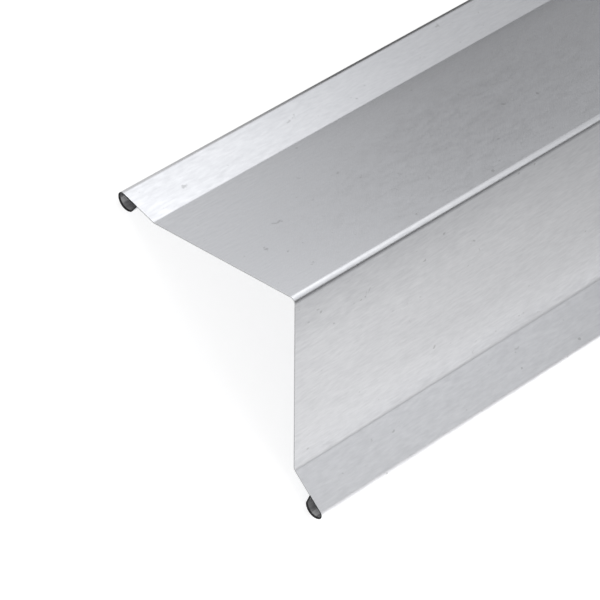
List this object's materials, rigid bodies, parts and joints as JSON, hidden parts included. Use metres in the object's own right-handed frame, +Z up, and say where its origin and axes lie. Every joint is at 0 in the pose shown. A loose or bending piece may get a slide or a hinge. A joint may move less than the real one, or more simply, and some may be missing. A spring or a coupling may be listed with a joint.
{
  "type": "ridge cap",
  "caption": "Folded sheet-metal ridge cap with flanges turned outwards and a hollow rolled bead along each edge, laid over the ridge of a pitched roof.",
  "frame": {"origin": "middle of the length and of the width, on the floor the beads lie on", "axes": "+X along the ridge, +Y across it towards the flatter flange, +Z up through the ridge"},
  "size_m": [1, 0.205, 0.0874],
  "materials": {
    "sheet": "mill finish, satin, with fine rolling lines along the length"
  },
  "bodies": {
    "root": {"ridge_cap": "sheet"}
  },
  "joints": []
}
